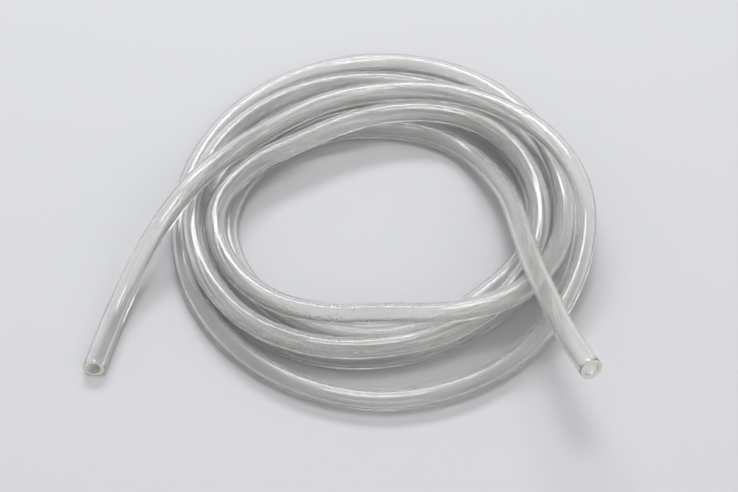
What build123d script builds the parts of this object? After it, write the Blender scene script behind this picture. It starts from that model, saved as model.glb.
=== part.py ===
from build123d import *
import math
import os

# Clear silicone tubing, wound by hand into a loose coil that lies flat with both cut ends free.
# Millimetres, +Z up. The origin is on the table, under the middle of the coil and its two ends.

# The tube's section
tube_bore = 5.0
tube_wall = 1.5
tube_od = tube_bore + 2 * tube_wall

# The coil's middle radius, and the least room between one turn and the next
coil_radius = 64.0
turn_gap = 0.3

# A lane is the room that one turn takes beside or above another
lane = tube_od + turn_gap

# Where the middle of the coil lies from the origin, as shares of its radius
middle_x_share = 0.236
middle_y_share = 0.070

# How far each turn lies outside the middle radius, in lanes, at eight marks around the coil:
# right, back right, back, back left, left, front left, front and front right.
# The first turn starts at the back right, and the last one leaves at the back left.
lane_shares = [
    [-2.07, -2.19, -1.44, -0.50, -0.95, -1.39, -1.69],
    [-0.72, -0.50, -0.26, -0.27, 0.50, 0.55, -0.37, -0.67],
    [0.30, 0.50, 0.80, 0.92, 0.98, 0.88, -0.29, -0.60],
    [-0.60, -0.84, -2.14, -2.30, -0.55, -0.14, -1.81, 0.22],
    [0.46, 0.98, 1.95, 1.84, 1.55, 1.71, 1.84, 1.56],
    [1.34, -0.11, -0.78, -0.80],
]

# How high each turn lies above the table at the same marks, in lanes
level_shares = [
    [0.06, 0.00, 0.00, 0.00, 0.00, 0.00, 0.00],
    [0.00, 0.00, 0.00, 0.00, 0.00, 0.00, 0.00, 0.00],
    [0.00, 0.00, 0.00, 0.41, 0.93, 1.02, 1.02, 1.02],
    [1.01, 1.01, 1.01, 1.01, 1.02, 1.04, 1.55, 2.19],
    [1.02, 0.98, 0.04, 0.00, 0.00, 0.00, 0.00, 0.00],
    [1.94, 1.80, 0.99, 1.02],
]

# The free ends: an angle around the coil in degrees, then lanes out and lanes up.
# The right end comes in over the coil from the front, and the left end runs down to the table.
right_end_shares = [
    (-52.97, 6.08, 4.73),
    (-48.84, 3.92, 4.00),
    (-42.93, 1.78, 3.40),
    (-35.3, 0.11, 3.01),
    (-23.5, -1.07, 2.47),
    (-7.0, -1.78, 1.66),
    (13.5, -2.01, 0.84),
]
left_end_shares = [
    (158.8, -0.08, 1.63),
    (174.9, 0.98, 2.00),
    (187.5, 2.43, 1.57),
    (195.0, 3.70, 0.72),
    (201.5, 4.92, 0.14),
    (207.0, 6.07, 0.00),
    (211.8, 7.25, 0.00),
]

# Each bend uses up this share of the shorter run beside it
bend_share = 0.45


def with_middles(turns):
    # All turns in one row, with a smooth value halfway between each two neighbours
    values = [value for turn in turns for value in turn]
    finer = [values[0]]
    for k in range(len(values) - 1):
        before = values[max(k - 1, 0)]
        after = values[min(k + 2, len(values) - 1)]
        finer.append((9 * (values[k] + values[k + 1]) - before - after) / 16)
        finer.append(values[k + 1])
    return finer


def place(degrees, lanes_out, lanes_up, ease=1.0):
    # A point of the route, which never sinks into the table
    angle = math.radians(degrees)
    radius = (coil_radius + lanes_out * lane) * ease
    x = middle_x_share * coil_radius + radius * math.cos(angle)
    y = middle_y_share * coil_radius + radius * math.sin(angle)
    return Vector(x, y, tube_od / 2 + max(lanes_up, 0) * lane)


def coil_points():
    # Points a little outside the turns, so that the middles of the runs lie on them
    marks = max(len(turn) for turn in lane_shares)
    start = 360 / marks * (marks - len(lane_shares[0]))
    step = 360 / marks / 2
    ease = 1 / math.cos(math.radians(step / 2))
    lanes = zip(with_middles(lane_shares), with_middles(level_shares))
    return [place(start + k * step, out, up, ease) for k, (out, up) in enumerate(lanes)]


def bend_radii(points):
    # The largest arc that each pair of runs has room for
    radii = []
    for before, here, after in zip(points, points[1:], points[2:]):
        arriving = here - before
        leaving = after - here
        half_turn = math.radians(arriving.get_angle(leaving)) / 2
        radii.append(bend_share * min(arriving.length, leaving.length) / math.tan(half_turn))
    return radii


right_end = [place(*shares) for shares in right_end_shares]
left_end = [place(*shares) for shares in left_end_shares]
route = right_end + coil_points() + left_end
radii = bend_radii(route)

# One tube, hollow from end to end
with BuildPart() as silicone_tube:
    with BuildLine() as path:
        FilletPolyline(*route, radius=radii)
    with BuildSketch(Plane(origin=path.line @ 0, z_dir=path.line % 0)):
        Circle(tube_od / 2)
        Circle(tube_bore / 2, mode=Mode.SUBTRACT)
    sweep()

silicone_tube.part.label = "silicone_tube"
os.makedirs("parts", exist_ok=True)
export_step(silicone_tube.part, "parts/silicone_tube.step")

# The bends, and the volume beside the section times the length
length = sum(edge.length for edge in path.edges())
section = math.pi / 4 * (tube_od**2 - tube_bore**2)
print("bend radii", [round(radius) for radius in radii])
print("smallest bend", round(min(radii), 1), "length", round(length, 1))
print("volume", round(silicone_tube.part.volume, 1), "section x length", round(section * length, 1))
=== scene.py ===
# Clear silicone tubing, wound by hand into a loose coil that lies flat with both cut ends free
import math

import bpy
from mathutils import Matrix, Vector


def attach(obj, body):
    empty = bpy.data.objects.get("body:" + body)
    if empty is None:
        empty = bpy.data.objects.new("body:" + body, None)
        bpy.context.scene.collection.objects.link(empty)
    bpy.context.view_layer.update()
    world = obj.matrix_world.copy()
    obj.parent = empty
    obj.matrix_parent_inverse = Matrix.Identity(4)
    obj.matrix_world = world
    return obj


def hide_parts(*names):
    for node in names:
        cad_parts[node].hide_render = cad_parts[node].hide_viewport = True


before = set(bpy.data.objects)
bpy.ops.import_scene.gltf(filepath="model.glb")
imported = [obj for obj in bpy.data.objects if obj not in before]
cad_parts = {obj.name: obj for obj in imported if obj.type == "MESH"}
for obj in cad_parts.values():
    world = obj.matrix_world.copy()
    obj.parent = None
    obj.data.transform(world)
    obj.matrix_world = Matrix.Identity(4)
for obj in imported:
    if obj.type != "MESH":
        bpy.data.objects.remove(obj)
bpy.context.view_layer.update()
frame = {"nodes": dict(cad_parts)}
scene = bpy.context.scene
scene.view_settings.view_transform = "Standard"
print("frame loaded with", ", ".join(frame["nodes"]))

# the camera of the photograph: looks along +Y, down onto the coil
camera = {
    "target": (0.0094, -0.0040, 0.0),
    "elevation": 54.0,  # degrees above the table
    "distance": 0.712,
    "lens": 91.4,
    "sensor": 36.0,
}


def setCamera():
    tilt = math.radians(camera["elevation"])
    back = Vector((0, -math.cos(tilt), math.sin(tilt)))
    bpy.ops.object.camera_add(
        location=Vector(camera["target"]) + back * camera["distance"],
        rotation=(math.radians(90) - tilt, 0, 0),
    )
    view = bpy.context.object
    view.data.lens = camera["lens"]
    view.data.sensor_width = camera["sensor"]
    view.data.sensor_fit = "HORIZONTAL"
    scene.camera = view
    print("camera set")


# one socket of a material, so that shader maths reads as plain sums
class Wire:
    def __init__(self, tree, socket=None):
        self.tree = tree
        self.socket = socket

    def node(self, kind, settings, inputs, output=0):  # the one way that a node is made
        made = self.tree.nodes.new("ShaderNode" + kind)
        for name, value in settings.items():
            setattr(made, name, value)
        for name, value in inputs.items():
            if isinstance(value, Wire):
                self.tree.links.new(value.socket, made.inputs[name])
            else:
                made.inputs[name].default_value = value
        return Wire(self.tree, made.outputs[output])

    def math(self, operation, first, second):
        return self.node("Math", {"operation": operation}, {0: first, 1: second})

    def __add__(self, other):
        return self.math("ADD", self, other)

    def __radd__(self, other):
        return self.math("ADD", other, self)

    def __sub__(self, other):
        return self.math("SUBTRACT", self, other)

    def __rsub__(self, other):
        return self.math("SUBTRACT", other, self)

    def __mul__(self, other):
        return self.math("MULTIPLY", self, other)

    def __rmul__(self, other):
        return self.math("MULTIPLY", other, self)

    def sine(self):
        return self.math("SINE", self, 0)

    def cosine(self):
        return self.math("COSINE", self, 0)

    def step(self, low, high):  # 0 below low, 1 above high, smooth between
        inputs = {"Value": self, "From Min": low, "From Max": high}
        return self.node("MapRange", {"interpolation_type": "SMOOTHSTEP"}, inputs)

    def mix(self, first, second):  # from the first colour to the second
        return self.node("Mix", {"data_type": "RGBA"}, {0: self, 6: first, 7: second}, 2)

    def noise(self, scale, detail):  # self holds the place
        return self.node("TexNoise", {}, {"Vector": self, "Scale": scale, "Detail": detail})

    def cells(self):  # how far the nearest cell's middle is, self holds the place
        return self.node("TexVoronoi", {}, {"Vector": self, "Scale": 1.0})

    def bump(self, depth):  # self holds the height, depth in metres
        return self.node("Bump", {}, {"Height": self, "Distance": depth, "Strength": 1.0})


def newMaterial(name, constants):
    material = bpy.data.materials.new(name)
    material.use_nodes = True
    shader = material.node_tree.nodes["Principled BSDF"]
    for socket, value in constants.items():
        shader.inputs[socket].default_value = value
    return material, shader, Wire(material.node_tree)


def feed(shader, links):
    for socket, wire in links.items():
        wire.tree.links.new(wire.socket, shader.inputs[socket])


# the tube's section and the route that it takes, in metres
tube = {
    "outside": 0.008,
    "bore": 0.005,
    "coilRadius": 0.064,
    "turnGap": 0.0003,
    "middleXShare": 0.236,  # the coil's middle from the origin, in coil radii
    "middleYShare": 0.070,
    "marks": 8,  # places around the coil, from the right side round the back
    "firstMark": 1,
    "stepsBetween": 15,  # rings from one point of the route to the next
    "ringDetail": 14,  # gives 32 corners to a ring
    "rimRound": 0.00012,
    "rimSteps": 2,
    "rimAngle": 60,  # degrees, sharper edges than this are rounded
    "smoothAngle": 40,
    "cutFacing": (-0.08, -1.0, 0.1),  # the knife went a little askew through the left end
    "cutReach": 0.012,  # how far up the wall that is evened out
}
# how far each turn lies outside the coil's radius at each mark, in lanes of one tube and a gap;
# a few points here and in the ends stand some millimetres off the solid's, to follow the photograph
laneShares = [
    -2.07, -2.19, -1.44, -0.50, -0.95, -1.39, -1.78,
    -0.72, -0.50, -0.26, -0.27, 0.50, 0.55, -0.37, -0.77,
    0.30, 0.50, 0.80, 0.92, 0.98, 0.88, -0.29, -0.60,
    -0.60, -0.84, -2.14, -2.30, 0.03, -0.58, -1.76, 0.22,
    0.46, 0.98, 1.95, 1.84, 1.55, 1.71, 1.84, 1.56,
    1.34, -0.11, -0.78, -0.80,
]
# how high each turn lies above the table there, in lanes
levelShares = [
    0.06, 0.00, 0.00, 0.00, 0.00, 0.00, 0.00,
    0.00, 0.00, 0.00, 0.00, 0.00, 0.00, 0.00, 0.00,
    0.00, 0.00, 0.00, 0.41, 0.93, 1.02, 1.02, 1.02,
    1.01, 1.01, 1.01, 1.01, 1.02, 1.04, 1.55, 2.19,
    1.02, 0.98, 0.04, 0.00, 0.00, 0.00, 0.00, 0.00,
    1.94, 1.80, 0.99, 1.02,
]
# the free ends: degrees around the coil, lanes out, lanes up
rightEndShares = [
    (-52.91, 6.06, 4.73),
    (-49.62, 3.78, 4.00),
    (-43.13, 1.75, 3.40),
    (-35.3, 0.11, 3.01),
    (-23.5, -1.07, 2.47),
    (-7.0, -1.78, 1.66),
    (13.5, -2.01, 0.84),
]
leftEndShares = [
    (158.8, -0.08, 1.63),
    (174.9, 0.98, 2.00),
    (187.5, 2.43, 1.57),
    (195.0, 3.70, 0.72),
    (201.5, 4.92, 0.14),
    (207.07, 6.04, 0.00),
    (212.17, 7.23, 0.00),
]


def withMiddles(values):  # a smooth value halfway between each two neighbours
    finer = [values[0]]
    for k in range(len(values) - 1):
        before = values[max(k - 1, 0)]
        after = values[min(k + 2, len(values) - 1)]
        finer.append((9 * (values[k] + values[k + 1]) - before - after) / 16)
        finer.append(values[k + 1])
    return finer


def place(degrees, lanesOut, lanesUp, ease=1.0):  # a point that never sinks into the table
    lane = tube["outside"] + tube["turnGap"]
    angle = math.radians(degrees)
    radius = (tube["coilRadius"] + lanesOut * lane) * ease
    x = tube["middleXShare"] * tube["coilRadius"] + radius * math.cos(angle)
    y = tube["middleYShare"] * tube["coilRadius"] + radius * math.sin(angle)
    return Vector((x, y, tube["outside"] / 2 + max(lanesUp, 0) * lane))


def coilPoints():  # a little outside the turns, so that the line between them lies on the turns
    step = 360 / (2 * tube["marks"])
    start = tube["firstMark"] * 360 / tube["marks"]
    ease = 1 / math.cos(math.radians(step / 2))
    lanes = zip(withMiddles(laneShares), withMiddles(levelShares))
    return [place(start + k * step, out, up, ease) for k, (out, up) in enumerate(lanes)]


def selectOnly(piece):
    bpy.ops.object.select_all(action="DESELECT")
    piece.select_set(True)
    bpy.context.view_layer.objects.active = piece


def layRoute(points):  # one smooth spline through the whole length
    curve = bpy.data.curves.new("siliconeTube", "CURVE")
    curve.dimensions = "3D"
    curve.resolution_u = tube["stepsBetween"]
    spline = curve.splines.new("NURBS")
    spline.points.add(len(points) - 1)
    for control, point in zip(spline.points, points):
        control.co = (*point, 1)
    spline.order_u = 3
    spline.use_endpoint_u = True
    route = bpy.data.objects.new("siliconeTube", curve)
    scene.collection.objects.link(route)
    return route


def applyModifier(piece, kind, **settings):
    selectOnly(piece)
    modifier = piece.modifiers.new(kind.lower(), kind)
    for name, value in settings.items():
        setattr(modifier, name, value)
    bpy.ops.object.modifier_apply(modifier=modifier.name)


def skewCut(piece, end, along):  # slides the wall near the end onto the knife's plane
    facing = Vector(tube["cutFacing"]).normalized()
    for corner in piece.data.vertices:
        offset = corner.co - end
        if offset.length < tube["cutReach"]:
            depth = -offset.dot(along)
            slide = -facing.dot(offset + along * depth) / facing.dot(along)
            corner.co += along * slide * (1 - depth / tube["cutReach"])


def makeTube():
    rightEnd = [place(*shares) for shares in rightEndShares]
    leftEnd = [place(*shares) for shares in leftEndShares]
    piece = layRoute(rightEnd + coilPoints() + leftEnd)
    line = bpy.data.meshes.new_from_object(piece)
    middles = [corner.co.copy() for corner in line.vertices]
    length = sum((b - a).length for a, b in zip(middles, middles[1:]))
    piece.data.bevel_depth = tube["outside"] / 2
    piece.data.bevel_resolution = tube["ringDetail"]
    selectOnly(piece)
    bpy.ops.object.convert(target="MESH")
    piece = bpy.context.object
    skewCut(piece, middles[-1], (middles[-1] - middles[-2]).normalized())
    piece.data.materials.clear()
    for material in (clearSilicone(length), boreWall(length), cutFace()):
        piece.data.materials.append(material)
    wall = (tube["outside"] - tube["bore"]) / 2
    applyModifier(
        piece, "SOLIDIFY", thickness=wall, offset=-1, use_rim=True,
        material_offset=1, material_offset_rim=2,
    )
    applyModifier(
        piece, "BEVEL", width=tube["rimRound"], segments=tube["rimSteps"],
        limit_method="ANGLE", angle_limit=math.radians(tube["rimAngle"]),
    )
    selectOnly(piece)
    bpy.ops.object.shade_smooth_by_angle(angle=math.radians(tube["smoothAngle"]))
    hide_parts("silicone_tube")
    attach(piece, "root")
    print("tube made, metres long:", round(length, 3), "faces:", len(piece.data.polygons))


# silicone, see-through and a little milky, drawn out of a die
silicone = {
    "clearColour": (0.965, 0.962, 0.945, 1),
    "cloudColour": (0.90, 0.895, 0.87, 1),
    "speckColour": (0.16, 0.15, 0.14, 1),
    # painted glints: small warm yellow spots in the base colour that stand in for glints of light
    "paintedGlintColour": (0.80, 0.66, 0.38, 1),
    "paintedGlintStrength": 0.6,
    "outside": {"IOR": 1.41, "Transmission Weight": 0.84},
    "inside": {"IOR": 1.41, "Transmission Weight": 0.95},
    "roughness": 0.05,
    "smearRoughness": 0.07,
    # patterns on the wall: metres of tube to a cell, size around a ring, detail, where they fade in
    "clouds": {"period": 0.022, "around": 0.5, "detail": 3.0, "fade": (0.35, 0.7)},
    "smears": {"period": 0.035, "around": 1.2, "detail": 4.0, "fade": (0.45, 0.75)},
    "lines": {"period": 0.4, "around": 3.0, "detail": 2.0},
    "lineDepth": 0.000015,
    # spots: metres of tube to a cell, size around a ring, and the spot's edge in cells
    "specks": {"period": 0.004, "around": 1.0, "edge": (0.04, 0.07)},
    "paintedGlints": {"period": 0.009, "around": 1.0, "edge": (0.06, 0.16)},
    "beads": {"period": 0.0024, "around": 2.0, "edge": (0.1, 0.35)},
    "groupPeriods": 5,  # specks and the painted warm glints come in loose groups
    "groups": {"around": 0.8, "detail": 1.0, "fade": (0.58, 0.62)},
    # where the bore is damp, in shares of the length, and how far; fine rings and beads stand there
    "dew": ((0.66, 0.03), (0.49, 0.025)),
    "ringLength": 0.0018,
    "ringDepth": 0.00011,
    "beadDepth": 0.0002,
}


def lengthShare(wire):  # 0 at the right end, 1 at the left end
    return wire.node("SeparateXYZ", {}, {0: wire.node("UVMap", {"uv_map": "UVMap"}, {})}, 0)


def wallPlace(wire, length, period, around):  # along the wall and round a ring, without a seam
    uv = wire.node("UVMap", {"uv_map": "UVMap"}, {})
    turn = wire.node("SeparateXYZ", {}, {0: uv}, 1) * math.tau
    along = lengthShare(wire) * (length / period)
    sides = {"X": along, "Y": turn.cosine() * around, "Z": turn.sine() * around}
    return wire.node("CombineXYZ", {}, sides)


def wallNoise(wire, length, pattern):
    return wallPlace(wire, length, pattern["period"], pattern["around"]).noise(1.0, pattern["detail"])


def wallSpots(wire, length, spots):  # 1 in each round spot, 0 between them
    nearest = wallPlace(wire, length, spots["period"], spots["around"]).cells()
    return 1 - nearest.step(*spots["edge"])


def sparseSpots(wire, length, spots):  # only the spots that lie in a group
    groups = dict(silicone["groups"], period=spots["period"] * silicone["groupPeriods"])
    return wallSpots(wire, length, spots) * wallNoise(wire, length, groups).step(*groups["fade"])


def milkyTone(wire, length):
    clouds = wallNoise(wire, length, silicone["clouds"]).step(*silicone["clouds"]["fade"])
    return clouds.mix(silicone["clearColour"], silicone["cloudColour"])


def dieLines(wire, length):  # fine lines along the tube
    return wallNoise(wire, length, silicone["lines"]) * silicone["lineDepth"]


def clearSilicone(length):
    material, shader, wire = newMaterial("clearSilicone", silicone["outside"])
    smears = wallNoise(wire, length, silicone["smears"]).step(*silicone["smears"]["fade"])
    specks = sparseSpots(wire, length, silicone["specks"])
    # painted glints: warm spots mixed into the tube's colour
    paintedGlints = sparseSpots(wire, length, silicone["paintedGlints"]) * silicone["paintedGlintStrength"]
    tone = paintedGlints.mix(milkyTone(wire, length), silicone["paintedGlintColour"])
    feed(shader, {
        "Base Color": specks.mix(tone, silicone["speckColour"]),
        "Roughness": silicone["roughness"] + smears * silicone["smearRoughness"],
        "Normal": dieLines(wire, length).bump(1.0),
    })
    return material


def boreWall(length):
    material, shader, wire = newMaterial("boreWall", silicone["inside"])
    share = lengthShare(wire)
    dew = 0
    for middle, reach in silicone["dew"]:
        dew = dew + share.step(middle - reach, middle) * (1 - share.step(middle, middle + reach))
    rings = (share * (math.tau * length / silicone["ringLength"])).sine() * silicone["ringDepth"]
    beads = wallSpots(wire, length, silicone["beads"]) * silicone["beadDepth"]
    feed(shader, {
        "Base Color": milkyTone(wire, length),
        "Roughness": silicone["roughness"] + dew * silicone["smearRoughness"],
        "Normal": (dieLines(wire, length) + dew * (rings + beads)).bump(1.0),
    })
    return material


# the faces that the knife left, duller and cream
knifeCut = {
    "paleColour": (0.84, 0.83, 0.74, 1),
    "creamColour": (0.76, 0.745, 0.62, 1),
    "shine": {"IOR": 1.41, "Transmission Weight": 0.12},
    "roughness": 0.35,
    "roughnessSpread": 0.2,
    "tone": {"scale": 360.0, "detail": 3.0, "fade": (0.35, 0.65)},  # scale in cells to the metre
    "marks": {"scale": 900.0, "detail": 4.0},
    "markDepth": 0.00005,
}


def cutFace():
    material, shader, wire = newMaterial("cutFace", knifeCut["shine"])
    spot = wire.node("TexCoord", {}, {}, "Object")
    cream = knifeCut["tone"]
    tone = spot.noise(cream["scale"], cream["detail"]).step(*cream["fade"])
    marks = spot.noise(knifeCut["marks"]["scale"], knifeCut["marks"]["detail"])
    feed(shader, {
        "Base Color": tone.mix(knifeCut["paleColour"], knifeCut["creamColour"]),
        "Roughness": knifeCut["roughness"] + marks * knifeCut["roughnessSpread"],
        "Normal": (marks * knifeCut["markDepth"]).bump(1.0),
    })
    return material


# a pale table and soft studio light
studio = {
    "tableSize": 4.0,
    "tableColour": (0.55, 0.55, 0.56, 1),
    "tableRoughness": 0.7,
    "worldColour": (0.8, 0.8, 0.82, 1),
    "worldStrength": 0.75,
    "lamps": {  # place, two sizes, watts and colour
        "back": ((-0.1, 0.87, 1.03), 1.0, 0.3, 9, (0.93, 0.96, 1.0)),
        "top": ((0.0, 0.1, 1.5), 0.5, 0.5, 6, (1.0, 1.0, 1.0)),
        "front": ((0.9, -0.8, 1.1), 1.0, 1.0, 3, (1.0, 0.98, 0.95)),
    },
}


def setStudio():
    bpy.ops.mesh.primitive_plane_add(size=studio["tableSize"])
    table = bpy.context.object
    table.name = "table"
    constants = {"Base Color": studio["tableColour"], "Roughness": studio["tableRoughness"]}
    table.data.materials.append(newMaterial("palePaint", constants)[0])
    world = bpy.data.worlds.new("studio")
    world.use_nodes = True
    world.node_tree.nodes["Background"].inputs["Color"].default_value = studio["worldColour"]
    world.node_tree.nodes["Background"].inputs["Strength"].default_value = studio["worldStrength"]
    scene.world = world
    for name, (spot, width, height, watts, colour) in studio["lamps"].items():
        bpy.ops.object.light_add(type="AREA", location=spot)
        lamp = bpy.context.object
        lamp.name = name + "Lamp"
        lamp.rotation_euler = Vector(spot).to_track_quat("Z", "Y").to_euler()
        lamp.data.shape = "ELLIPSE"
        lamp.data.size = width
        lamp.data.size_y = height
        lamp.data.energy = watts
        lamp.data.color = colour
    print("studio set")


setCamera()
makeTube()
setStudio()
